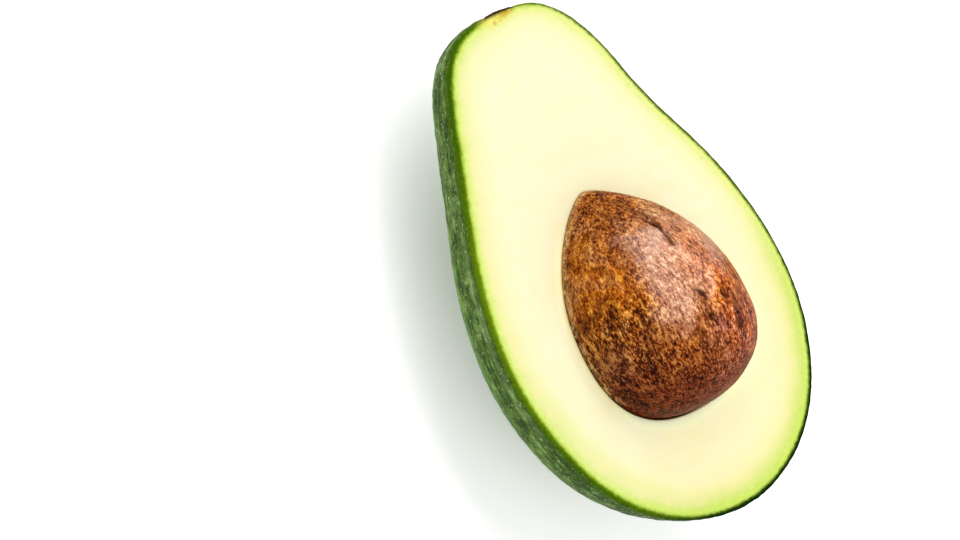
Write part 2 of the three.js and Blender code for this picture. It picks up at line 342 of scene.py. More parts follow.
def build_skin():
    m = Mesh()
    g = body(0, s_rows, a_cols)
    # how far along the fruit each point lies, and how far round it from the nearer rim, in mm
    mid = g[:, 0]
    step = np.linalg.norm(np.diff(mid, axis=0), axis=1)
    along = np.repeat(np.r_[0, np.cumsum(step)][:, None], COLS, 1)
    girth = np.cumsum(np.c_[np.zeros(len(g)), np.linalg.norm(np.diff(g, axis=1), axis=2)], axis=1)
    girth = np.minimum(girth, girth[:, -1:] - girth)
    tip0 = m.add(g[0, 0], outer=1, edge_mm=0, along=along[0, 0], girth=0)
    first = m.add(g[1:-1], outer=1, edge_mm=0, along=along[1:-1], girth=girth[1:-1])
    tip1 = m.add(g[-1, 0], outer=1, edge_mm=0, along=along[-1, 0], girth=0)
    idx = first + np.arange((ROWS - 1) * COLS).reshape(ROWS - 1, COLS)
    for i in range(ROWS - 2):
        m.strip(idx[i], idx[i + 1], flip=True)
    m.fan(tip0, idx[0], flip=True)
    m.fan(tip1, idx[-1])
    p = m.all_points()
    n = m.normals(p)
    rim = np.r_[tip0, idx[:, 0], tip1, idx[::-1, -1]]
    n[rim, 2] = 0
    n /= np.linalg.norm(n, axis=1)[:, None]
    r_stem = np.where(p[:, 1] > 30, np.hypot(p[:, 0] - STEM[0], p[:, 2] - CUT), 99)
    d = skin_relief(p, m.value("along"), m.value("girth"))
    d -= LUMPS * fbm(p / 19.0, 2, 3) * (1 - smooth(CUT - p[:, 2], 0.0, 6.0))  # the outline stays true at the rim
    d += 0.14 * np.exp(-((r_stem - 5.3) / 0.9) ** 2) * smooth(CUT - p[:, 2], 0.2, 1.5)
    s_of = np.r_[0, np.repeat(s_rows[1:-1], COLS), 1]
    right_side = np.r_[True, np.tile(a_cols < math.pi / 2, ROWS - 1), True]
    more = around(MORE_T, MORE, np.where(right_side, 0.5 * s_of, 1 - 0.5 * s_of))
    d += more * (1 - smooth(CUT - p[:, 2], 0.0, 7.0))
    p = p + n * d[:, None]
    # under the button the outside is sunk by a little
    under = 1 - smooth(r_stem, BUTTON_R - 0.35, BUTTON_R + 0.25)
    p[:, 1] -= (SINK + 0.45 * smooth(CUT - p[:, 2], 0.1, 1.0)) * under * (p[:, 1] > 30)
    # the resting spot: flat where the fruit's weight presses it on the table
    low = p[:, 2]
    p[:, 2] = np.where(low < 0.5, 0.5 * (low + np.sqrt(low * low + 0.09)) * 1.0, low)
    p[:, 2] = np.where(low < 0.5, p[:, 2] * smooth(low, -0.6, 0.5), p[:, 2])
    p[rim, 2] = CUT - 0.09
    outer_rim = p[rim]
    m.points = [p]
    inner = rim_points(rim_peel, t_rim)
    loops = [rim]
    for f, drop in ((0.04, 0.03), (0.11, 0.0), (0.3, 0.0), (0.5, 0.0), (0.7, 0.0), (0.85, 0.0), (1.0, 0.0)):
        q = outer_rim * (1 - f) + inner * f
        q[:, 2] = CUT - drop + knife(q) * smooth(f, 0.05, 0.5)
        e = (rim_sink - around(MORE_T, MORE, t_rim)) * (1 - f) + rim_peel * f
        fst = m.add(q, outer=0, edge_mm=e)
        loops.append(fst + np.arange(len(q)))
    for a, b in zip(loops[:-1], loops[1:]):
        m.strip(close(a), close(b), flip=True)
    # the inside of the peel, hidden behind the flesh
    gi = body(SKIN, s_rows, np.linspace(0, math.pi, 12))
    gi[..., 2] = np.maximum(gi[..., 2], SKIN * DEPTH_RATIO)
    mid = gi[1:-1, 1:-1]
    mi = m.add(mid, outer=0, edge_mm=SKIN) + np.arange((ROWS - 1) * 10).reshape(ROWS - 1, 10)
    last = loops[-1]
    cols = np.c_[last[1:ROWS], mi, last[ROWS + 1:][::-1]]
    for i in range(ROWS - 2):
        m.strip(cols[i], cols[i + 1])
    m.fan(last[0], cols[0])
    m.fan(last[ROWS], cols[-1], flip=True)
    w, tone = np.full(m.n, 1.0), np.full(m.n, 0.5)
    for lp in loops:
        w[lp], tone[lp] = rim_w, rim_tone
    return m.make("avocado_peel", peel_w=w, peel_tone=tone)


# ------------------------------------------------------------------ seed and its cavity
def natural_spline(x, y, t):
    """Natural cubic spline through (x, y): values and slopes at t."""
    n = len(x)
    h = np.diff(x)
    a = np.eye(n)
    b = np.zeros(n)
    for i in range(1, n - 1):
        a[i, i - 1], a[i, i], a[i, i + 1] = h[i - 1], 2 * (h[i - 1] + h[i]), h[i]
        b[i] = 6 * ((y[i + 1] - y[i]) / h[i] - (y[i] - y[i - 1]) / h[i - 1])
    m2 = np.linalg.solve(a, b)
    i = np.clip(np.searchsorted(x, t, side="right") - 1, 0, n - 2)
    d = t - x[i]
    e = x[i + 1] - t
    v = (m2[i] * e**3 + m2[i + 1] * d**3) / (6 * h[i]) + (y[i] / h[i] - m2[i] * h[i] / 6) * e + (
        y[i + 1] / h[i] - m2[i + 1] * h[i] / 6) * d
    g = (-m2[i] * e**2 + m2[i + 1] * d**2) / (2 * h[i]) - (y[i] / h[i] - m2[i] * h[i] / 6) + (
        y[i + 1] / h[i] - m2[i + 1] * h[i] / 6)
    return v, g


def seed_profile(grow, u):
    """Radius and place along the axis for u in 0..1 from the blunt end to the tip, `grow` larger all round."""
    n = len(SEED_R) - 1
    k = np.arange(n + 1) / n
    y = SEED_Y[0] + (SEED_Y[1] - SEED_Y[0]) * 0.5 * (1 - np.cos(np.pi * k))
    kk = np.r_[-k[3:0:-1], k, 2 - k[-2:-5:-1]]
    rr = np.r_[-SEED_R[3:0:-1], SEED_R, -SEED_R[-2:-5:-1]]
    yy = np.r_[y[3:0:-1], y, y[-2:-5:-1]]
    r, ry = natural_spline(kk, rr, u)
    z, zy = natural_spline(kk, yy, u)
    length = np.hypot(ry, zy)
    return np.maximum(r + zy / length * grow, 0), z - ry / length * grow


def seed_axis_x(y):
    return SEED_X[0] + (SEED_X[1] - SEED_X[0]) * (y - SEED_Y[0]) / (SEED_Y[1] - SEED_Y[0])


SEED_ROWS = 318
# the crease and the dark nicks of the seed coat, in mm from the middle of the cut
CREASE = np.array([[2.62, 5.27, 12.81], [3.31, 4.33, 13.35], [3.84, 3.22, 13.97], [4.0, 1.79, 14.81],
                   [3.83, 0.29, 15.65], [3.72, -1.21, 16.39]])
NICKS = [(2.2, -12.7, 19.31, 1.15, 0.40), (6.7, -15.1, 18.6, 1.15, 0.44), (1.25, -17.4, 19.34, 1.0, 0.44),
         (-10.3, -14.0, 14.9, 0.7, 0.3), (2.4, -24.0, 17.6, 0.6, 0.3)]


# where the rosy patch with its painted highlight runs over the seed, in mm
BLOOM_HIGHLIGHT = np.array([[-0.8, 3.8, 0], [-0.8, 1.0, 0], [-2.0, -5.0, 0], [-3.3, -10.5, 0], [-4.0, -13.0, 0]])
BLOOM_HIGHLIGHT_RIGHT = np.array([[2.0, 5.0, 0], [7.0, -1.0, 0], [10.5, -6.5, 0]])
BLOOM_HIGHLIGHT_MID = np.array([[2.5, -2.5, 0], [6.3, -7.6, 0], [3.8, -10.8, 0]])
# dark seams of the coat, and lighter (+) or darker (-) blotches: x, y, half widths in x and y, amount. The first, long
# dark one down the right edge is painted shade
SEAM = np.array([[-2.6, 9.4, 0], [-5.4, 5.8, 0], [-7.2, 0.8, 0], [-8.9, -4.4, 0], [-10.5, -8.4, 0], [-11.4, -13.0, 0]])
RED_SEAM = np.array([[0.6, 13.0, 0], [1.6, 10.8, 0], [2.7, 8.0, 0], [3.1, 5.4, 0]])
BLOTCHES = [(14.0, -13.5, 3.2, 7.5, -0.55), (-15.9, -7.3, 1.9, 2.6, -0.80), (-13.5, -4.0, 2.4, 2.2, -0.22),
            (6.6, 7.2, 2.3, 3.2, 0.60), (-16.8, -17.0, 2.4, 4.6, 0.32), (-6.9, 11.0, 1.4, 3.0, 0.35),
            (-14.6, 0.0, 1.6, 3.0, 0.30), (-7.5, -24.0, 4.5, 3.0, -0.18), (0.6, 12.5, 2.4, 2.0, -0.15),
            (9.2, -19.8, 2.4, 2.6, -0.85), (-14.2, -9.5, 1.3, 1.8, 0.60), (-2.6, 6.8, 2.4, 1.8, 0.22), (-9.3, -12.9, 1.3, 1.8, 0.22),
            (-9.3, 4.3, 1.4, 2.4, 0.44), (-7.6, -4.3, 1.3, 2.6, 0.30), (-1.4, -22.0, 2.6, 2.6, 0.16),
            (-2.4, 11.5, 1.2, 1.2, -0.22), (2.6, -10.2, 1.8, 2.0, 0.22),
            (-10.3, -15.6, 1.4, 1.6, -0.35), (-16.3, -2.0, 1.2, 2.0, 0.40),
            (-15.0, -4.8, 1.6, 1.6, -0.30), (-11.8, 3.3, 1.1, 2.0, -0.30), (-11.8, -2.2, 1.4, 2.8, 0.28),
            (12.4, -24.4, 1.8, 3.4, -0.30), (-3.8, 2.4, 1.8, 2.4, 0.20), (1.9, -16.8, 2.2, 2.6, 0.26)]


def distance_to_line(p, line):
    best = np.full(len(p), 99.0)
    for a, b in zip(line[:-1], line[1:]):
        ab = b - a
        t = np.clip(((p - a) @ ab) / (ab @ ab), 0, 1)
        best = np.minimum(best, np.linalg.norm(p - (a + t[:, None] * ab), axis=1))
    return best


def seed_relief(p):
    """Relief of the seed coat in mm, and how dark its pits and marks are (0 to 1)."""
    q = p - [0, 0, CUT]
    flat = (p - [0, 0, CUT]) * np.array([1, 0.5, 1])
    broad = 0.34 * fbm(p / 12.0, 2, 61)
    dents = smooth(fbm(flat / 3.4, 2, 62), 0.16, 0.55)
    f1, f2, _ = worley(flat / 0.95, 63)
    g1 = perlin(flat / 0.62, 64)
    g2 = fbm(flat / 1.7, 2, 65)
    grain = 0.045 * (0.5 - f1) + 0.045 * g1 + 0.06 * g2
    wob = q + 0.22 * np.c_[perlin(q / 0.9, 66), perlin(q / 0.9, 67), perlin(q / 0.9, 68)]
    dc = distance_to_line(wob, CREASE)
    wide = 0.50 + 0.36 * smooth(q[:, 1], 2.5, 0.5) + 0.12 * perlin(q / 0.7, 89)
    crease = np.exp(-((dc / wide) ** 2)) * smooth(q[:, 2], 3, 8)
    lip = np.exp(-(((dc - 1.3) / 0.55) ** 2)) * smooth(q[:, 2], 3, 8)
    marks = np.zeros(len(p))
    for x, y, z, ly, lx in NICKS:
        lx, ly = 1.7 * lx, 1.15 * ly
        d = (wob - [x, y, z]) / [lx, ly, 1.2]
        # the nicks lean a little across the length
        d[:, 0] += 0.45 * d[:, 1] * ly / lx * 0.6
        marks = np.maximum(marks, np.exp(-((d**2).sum(1) ** 1.7)))
    relief = broad - 0.12 * dents + grain - 0.42 * crease + 0.16 * lip - 0.26 * marks
    dark = np.clip(0.30 * dents + (0.78 + 0.22 * smooth(q[:, 1], 1.5, 3.5)) * crease + 1.0 * marks, 0, 1)
    pit = np.clip(0.5 - 1.1 * g1 - 0.9 * g2 + 0.8 * (f1 - 0.45), 0, 1)
    # a rosy, dry bloom over the middle, painted paler where the highlight falls; the blunt end and the lower left flank
    # are the darkest, painted shade
    w = np.c_[perlin(p / 3.1, 81), perlin(p / 3.1, 82)]
    flat2 = np.c_[q[:, :2] + 2.2 * w, np.zeros(len(p))]
    bloom_and_highlight = 1 - smooth(distance_to_line(flat2, BLOOM_HIGHLIGHT), 2.0, 7.5)
    bloom_and_highlight = np.maximum(bloom_and_highlight, 0.55 * (1 - smooth(distance_to_line(flat2, BLOOM_HIGHLIGHT_RIGHT), 2.0, 8.0)))
    bloom_and_highlight = np.maximum(bloom_and_highlight, 0.9 * (1 - smooth(distance_to_line(flat2, BLOOM_HIGHLIGHT_MID), 1.5, 5.0)))
    bloom_and_highlight = bloom_and_highlight * smooth(q[:, 2], 7, 12)
    bloom_and_highlight = bloom_and_highlight * (1 - 0.6 * smooth(flat2[:, 1] + 0.30 * flat2[:, 0], 3.4, 5.4) * smooth(flat2[:, 0], 6, 4))
    sheen = bloom_and_highlight * smooth(q[:, 1], -17, -11.5)
    # painted highlight: a paler pink patch near the top of the seed
    painted_glint = np.exp(-(((flat2[:, 0] - 0.9) / 2.5) ** 2 + ((flat2[:, 1] - 1.2) / 2.3) ** 2)) * smooth(q[:, 2], 7, 12)
    tint = -0.42 * np.exp(-((distance_to_line(flat2, SEAM) / 1.15) ** 2)) * smooth(q[:, 2], 4, 8) * (0.65 + 0.35 * smooth(q[:, 1], 6, 1))
    tint = tint - 0.45 * np.exp(-((distance_to_line(flat2, RED_SEAM) / 1.1) ** 2)) * smooth(q[:, 2], 2, 6)
    for x, y, rx, ry, amount in BLOTCHES:
        tint = tint + amount * np.exp(-(((flat2[:, 0] - x) / rx) ** 2 + ((flat2[:, 1] - y) / ry) ** 2)) * (q[:, 2] > -1)
    # painted shade: darker towards the blunt end and over the lower left flank
    way = -0.30 * q[:, 0] - 0.95 * q[:, 1] + 6.0 * fbm(p / 5.0, 2, 83)
    shade = smooth(way, 9, 31) - 0.33 * np.exp(-(((q[:, 0] - 4) / 8) ** 2 + ((q[:, 1] + 26) / 7) ** 2))
    shade = shade + 0.35 * np.exp(-(((q[:, 0] + 12.5) / 3.0) ** 2 + ((q[:, 1] + 13) / 4.5) ** 2))
    umber = smooth(q[:, 1], -3, 7) * (0.75 + 0.5 * fbm(p / 3.5, 2, 87))
    # painted reflection: a purple tint on the lower right, from the pale surroundings
    plum_reflection = smooth(q[:, 0] - 0.5 * q[:, 1] + 3 * fbm(p / 4.0, 2, 88), 5, 15) * smooth(q[:, 1], -12, -20)
    gold = smooth(-q[:, 0] + 3 * fbm(p / 4.0, 2, 84), 5, 12) * smooth(way, 22, 8)
    ember = smooth(q[:, 0] + 3 * fbm(p / 4.0, 2, 85), -2, 7) * smooth(q[:, 1], 4, -6)
    # painted highlight: paler over the upper right flank, which faces the key light
    tan = smooth(q[:, 0] + 1.5 * fbm(p / 3.0, 2, 86), 8.5, 14.5) * smooth(q[:, 1], -11, -5)
    rough = smooth(-q[:, 0], 4, 12) * smooth(q[:, 1], -4, -11)
    rust = (1 - bloom_and_highlight) * (1 - tan) * (1 - 0.5 * np.clip(umber, 0, 1)) * (1 - 0.85 * plum_reflection)
    calm = (1 - 0.14 * bloom_and_highlight) * (1 - 0.30 * gold * smooth(q[:, 1], -12, -3)) * (1 + 0.5 * rough)
    return (relief,), dict(dark=dark, pit=pit, bloom_and_highlight=bloom_and_highlight, shade=np.clip(shade, 0, 1), gold=gold, ember=ember,
                           tan=tan, umber=np.clip(umber, 0, 1), plum_reflection=plum_reflection, calm=calm, sheen=sheen, painted_glint=painted_glint, rust=rust,
                           lift=np.clip(tint, 0, 1), drop=np.clip(-tint, 0, 1))


def build_seed():
    m = Mesh()
    u = np.linspace(0, 1, SEED_ROWS + 1)
    r, y = seed_profile(0.0, u)
    # finer above the cut, where it is seen
    b = np.r_[np.linspace(-0.12, math.pi + 0.12, 226, endpoint=False),
              np.linspace(math.pi + 0.12, 2 * math.pi - 0.12, 80, endpoint=False)]
    cols = len(b)
    cx = seed_axis_x(y)
    g = np.stack([cx[:, None] + r[:, None] * np.cos(b), np.repeat(y[:, None], cols, 1), CUT + r[:, None] * np.sin(b)], -1)
    tip0 = m.add([cx[0], y[0], CUT])
    first = m.add(g[1:-1])
    tip1 = m.add([cx[-1], y[-1], CUT])
    idx = first + np.arange((SEED_ROWS - 1) * cols).reshape(SEED_ROWS - 1, cols)
    ring = np.c_[idx, idx[:, 0]]
    for i in range(SEED_ROWS - 2):
        m.strip(ring[i], ring[i + 1])
    m.fan(tip0, ring[0])
    m.fan(tip1, ring[-1], flip=True)
    p = m.all_points()
    n = m.normals(p)
    (d,), tints = seed_relief(p)
    h = p[:, 2] - CUT
    d = d * (0.12 + 0.88 * smooth(np.abs(h), 0.3, 2.2))  # smooth where it meets the flesh
    p = p + n * d[:, None]
    return m.make("avocado_stone", p, **tints)


# ------------------------------------------------------------------ flesh
def build_flesh():
    m = Mesh()
    # seed outline at the cut, walked in step with the rim
    u = np.linspace(0, 1, ROWS + 1)
    fine = np.linspace(0, 1, 4001)
    r, y = seed_profile(0.25, fine)
    arc = np.r_[0, np.cumsum(np.hypot(np.diff(r), np.diff(y)))]
    uu = np.interp(u, arc / arc[-1], fine)

    # the gap to the seed is widest on the lower left and closes round the tip
    def gap_at(x, y):
        a = np.arctan2(x - 1.0, y + 10.0)  # 0 towards the stem, negative on the left
        deg = np.degrees(a)
        side = np.interp(deg, [-180, -150, -115, -90, -60, 0, 60, 120, 160, 180],
                         [0.24, 0.33, 0.28, 0.09, 0.045, 0.04, 0.045, 0.06, 0.14, 0.24])
        return side

    def seed_ring(grow):
        """Closed loop round the seed at the cut, `grow` outside the local gap."""
        rr, yy = seed_profile(0.0, uu)
        cx = seed_axis_x(yy)
        gr, gl = gap_at(cx + rr, yy), gap_at(cx - rr, yy)
        gr = np.where(uu > 0.999, gap_at(np.array([1.0]), np.array([20.0])), gr)
        out = []
        for gap, sign in ((gr, 1), (gl, -1)):
            ends = 0.5 * (gr + gl)
            w = smooth(np.minimum(uu, 1 - uu), 0.0, 0.06)
            gg = gap * w + ends * (1 - w)
            r2, y2 = profile_many(gg + grow, uu)
            r2[0] = r2[-1] = 0
            out.append(np.c_[seed_axis_x(y2) + sign * r2, y2])
        return np.vstack([out[0], out[1][1:-1][::-1]])

    def profile_many(grow, u):
        r0, y0 = seed_profile(0.0, u)
        r1, y1 = seed_profile(1.0, u)
        return r0 + (r1 - r0) * grow, y0 + (y1 - y0) * grow

    # near the axis the clipped radius hides the normal: take the profile's own direction there
    loops = []
    ring_wob = 0.05 * perlin(np.c_[np.cos(2 * np.pi * t_rim) * 9, np.sin(2 * np.pi * t_rim) * 9, 0 * t_rim], 95)

    def loop(q, e, l, z=0.0):
        q3 = np.c_[q, np.full(len(q), CUT)]
        q3[:, 2] += knife(q3) + z
        f = m.add(q3, edge_mm=e, lip_mm=l)
        loops.append(f + np.arange(len(q3)))

    extra = np.array([0, 0.1, 0.24, 0.42, 0.65, 0.95, 1.3, 1.75, 2.3, 3.0, 3.8, 4.8, 6.0])
    for x in extra:
        by = rim_peel + x
        loop(rim_points(by, t_rim)[:, :2], by, 9.0)
    outer_q = rim_points(rim_peel + extra[-1], t_rim)[:, :2]
    inner_q = seed_ring(1.7)
    width = np.linalg.norm(outer_q - inner_q, axis=1)
    for k in range(1, 16):
        f = k / 16
        loop(outer_q * (1 - f) + inner_q * f, rim_peel + extra[-1] + width * f, 1.7 + np.minimum(width * (1 - f), 7))
    lip_steps = [(1.7, 0), (1.25, 0), (0.95, 0.01), (0.7, 0.015), (0.5, 0.01), (0.34, -0.005), (0.22, -0.035),
                 (0.12, -0.09), (0.05, -0.17), (0.0, -0.30)]
    here = seed_ring(0.0)
    open_by = np.clip((gap_at(here[:, 0], here[:, 1]) - 0.03) / 0.27, 0.05, 1.0)
    for gq, z in lip_steps:
        w = ring_wob * smooth(1.7 - gq, 0, 1.0)
        loop(seed_ring(gq), rim_peel + extra[-1] + width + (1.7 - gq), gq + w, z * open_by)
    for a, b in zip(loops[:-1], loops[1:]):
        m.strip(close(a), close(b), flip=True)

    # outside of the flesh, against the peel
    gi = body(SKIN, s_rows, np.linspace(0, math.pi, 12))
    gi[..., 2] = np.maximum(gi[..., 2], SKIN * DEPTH_RATIO)
    mi = m.add(gi[1:-1, 1:-1], edge_mm=SKIN, lip_mm=9) + np.arange((ROWS - 1) * 10).reshape(ROWS - 1, 10)
    rim = loops[0]
    cols = np.c_[rim[1:ROWS], mi, rim[ROWS + 1:][::-1]]
    for i in range(ROWS - 2):
        m.strip(cols[i], cols[i + 1], flip=True)
    m.fan(rim[0], cols[0], flip=True)
    m.fan(rim[ROWS], cols[-1])

    # the cavity, from its rim down round the seed
    nc = 30
    rim = loops[-1]
    right, left = rim[1:ROWS], rim[ROWS + 1:][::-1]
    allp = m.all_points()
    pr, pl = allp[right], allp[left]
    r3, y3 = seed_profile(0.38, uu)
    r3, y3 = r3[1:-1], y3[1:-1]
    b = np.linspace(0, np.pi, nc)[1:-1]
    mid = np.empty((len(right), len(b), 3))
    for j, ang in enumerate(b):
        deep = smooth(math.sin(ang), 0.0, 0.25)
        x_top = np.where(math.cos(ang) >= 0, pr[:, 0], pl[:, 0])
        y_top = np.where(math.cos(ang) >= 0, pr[:, 1], pl[:, 1])
        cxx = seed_axis_x(y3)
        x0 = cxx + (x_top - cxx) * abs(math.cos(ang))
        x1 = cxx + r3 * math.cos(ang)
        mid[:, j, 0] = x0 * (1 - deep) + x1 * deep
        mid[:, j, 1] = y_top * (1 - deep) + y3 * deep
        z_top = np.where(math.cos(ang) >= 0, pr[:, 2], pl[:, 2]) - CUT
        mid[:, j, 2] = CUT + z_top * (1 - deep) - r3 * math.sin(ang)
    depth = CUT - mid[..., 2]
    ci = m.add(mid, edge_mm=20, lip_mm=-depth.ravel()) + np.arange(mid.shape[0] * mid.shape[1]).reshape(mid.shape[:2])
    cols = np.c_[right, ci, left]
    for i in range(len(right) - 1):
        m.strip(cols[i], cols[i + 1])
    m.fan(rim[0], cols[0])
    m.fan(rim[ROWS], cols[-1], flip=True)
    w, tone = np.full(m.n, 1.0), np.full(m.n, 0.5)
    for lp in loops:
        w[lp], tone[lp] = rim_w, rim_tone
    return m.make("avocado_flesh_half", peel_w=w, peel_tone=tone)


# ------------------------------------------------------------------ stem button
def build_button():
    """Half a corky disc. Its outside follows the fruit's end and its straight side lies in the cut."""
    pts = body(0, np.linspace(0.93, 1, 120), np.linspace(0, math.pi, 80)).reshape(-1, 3)
    k = np.hypot(pts[:, 0] - STEM[0], pts[:, 2] - CUT) < 6
    x, z, yy = pts[k, 0] - STEM[0], pts[k, 2] - CUT, pts[k, 1]
    a = np.c_[np.ones(len(x)), x, z, x * x, z * z, x * z, x**3]
    co = np.linalg.lstsq(a, yy, rcond=None)[0]

    def surf(x, z):
        return np.c_[np.ones(len(x)), x, z, x * x, z * z, x * z, x**3] @ co

    m = Mesh()
    nr, na = 46, 120
    rad = np.linspace(0, 1, nr + 1)[1:]
    th = np.linspace(math.pi, 2 * math.pi, na)
    ring = np.c_[np.cos(th), np.sin(th), np.zeros(na)]
    R = BUTTON_R * (0.97 + 0.045 * perlin(ring * 1.7, 71) + 0.03 * perlin(ring * 5, 72))

    def sheet(height):
        X = np.outer(rad, R * np.cos(th))
        Z = np.outer(rad, R * np.sin(th))
        Z[:, 0] = Z[:, -1] = 0
        q = np.c_[X.ravel(), np.zeros(X.size), Z.ravel()]
        y = surf(q[:, 0], q[:, 2]) + height(q, np.repeat(rad, na))
        mid = surf(np.zeros(1), np.zeros(1)) + height(np.zeros((1, 3)), np.zeros(1))
        return np.c_[q[:, 0] + STEM[0], y, q[:, 2] + CUT], mid[0]

    def top(q, r):
        cork = 0.11 * fbm(q / 1.1, 3, 73) + 0.05 * perlin(q / 0.42, 74)
        f1, f2, _ = worley(q / 1.25, 75)
        cracks = -0.13 * (1 - smooth(f2 - f1, 0.02, 0.22))
        groove = -0.26 * np.exp(-((r - 0.86) / 0.06) ** 2)
        deep = smooth(-q[:, 2], 0.0, 0.9)  # the outline in the cut stays fine
        # in the cut the scab is ragged and dies away towards its ends
        thin = 0.07 + 0.10 * perlin(q / 0.9, 77) + 0.06 * perlin(q / 0.35, 78) - 0.16 * smooth(r, 0.6, 1.0)
        proud = 0.02 + 0.22 * (1 - r**2) + cork + cracks + groove - 0.30 * smooth(r, 0.93, 1.0)
        return np.maximum(thin * (1 - deep) + proud * deep, -0.2)

    def under(q, r):
        deep = smooth(-q[:, 2], 0.1, 1.0)
        return -0.33 + 0.04 * perlin(q / 0.8, 76) - 0.4 * deep

    pt, ct = sheet(top)
    pu, cu = sheet(under)
    rr = np.repeat(rad, na)
    c0 = m.add([STEM[0], ct, CUT], r_rel=0, depth=0)
    A = m.add(pt, r_rel=rr, depth=0) + np.arange(nr * na).reshape(nr, na)
    c1 = m.add([STEM[0], cu, CUT], r_rel=0, depth=1)
    B = m.add(pu, r_rel=rr, depth=1) + np.arange(nr * na).reshape(nr, na)
    for i in range(nr - 1):
        m.strip(A[i], A[i + 1])
        m.strip(B[i], B[i + 1], flip=True)
    m.fan(c0, A[0])
    m.fan(c1, B[0], flip=True)
    m.strip(A[-1], B[-1])
    side_a = np.r_[A[::-1, 0], c0, A[:, -1]]
    side_b = np.r_[B[::-1, 0], c1, B[:, -1]]
    # a middle row in the cut, so the section can be darker outside
    pa, pb = m.all_points()[side_a], m.all_points()[side_b]
    M = m.add(0.5 * (pa + pb), r_rel=np.abs(pa[:, 0] - STEM[0]) / BUTTON_R, depth=0.5) + np.arange(len(side_a))
    m.strip(side_a, M, flip=True)
    m.strip(M, side_b, flip=True)
    # close the two ends of the middle row
    m.tris.append(np.array([[side_a[0], M[0], side_b[0]], [side_a[-1], side_b[-1], M[-1]]]))
    return m.make("stem_button_cork")


# ------------------------------------------------------------------ colours
def lin(c):
    c = c / 255.0
    return c / 12.92 if c <= 0.04045 else ((c + 0.055) / 1.055) ** 2.4


def srgb(r, g, b, light=1.0, gloss=0.0):
    """Surface colour that shows as this sRGB colour under `light`, with `gloss` of white laid over it."""
    return tuple(min(max((lin(c) - gloss) / light, 0.001), 0.96) for c in (r, g, b)) + (1.0,)


def on_cut(r, g, b):
    """Colour of the cut face: the palest tones are kept a little brighter than their light asks for."""
    out = []
    for c in (r, g, b):
        light = 1.39 - (0.05, 0.005, 0.0)[len(out)] * float(smooth(c, 200, 250))
        out.append(min(max((lin(c) - 0.008) / light, 0.001), 0.9))
    return tuple(out) + (1.0,)


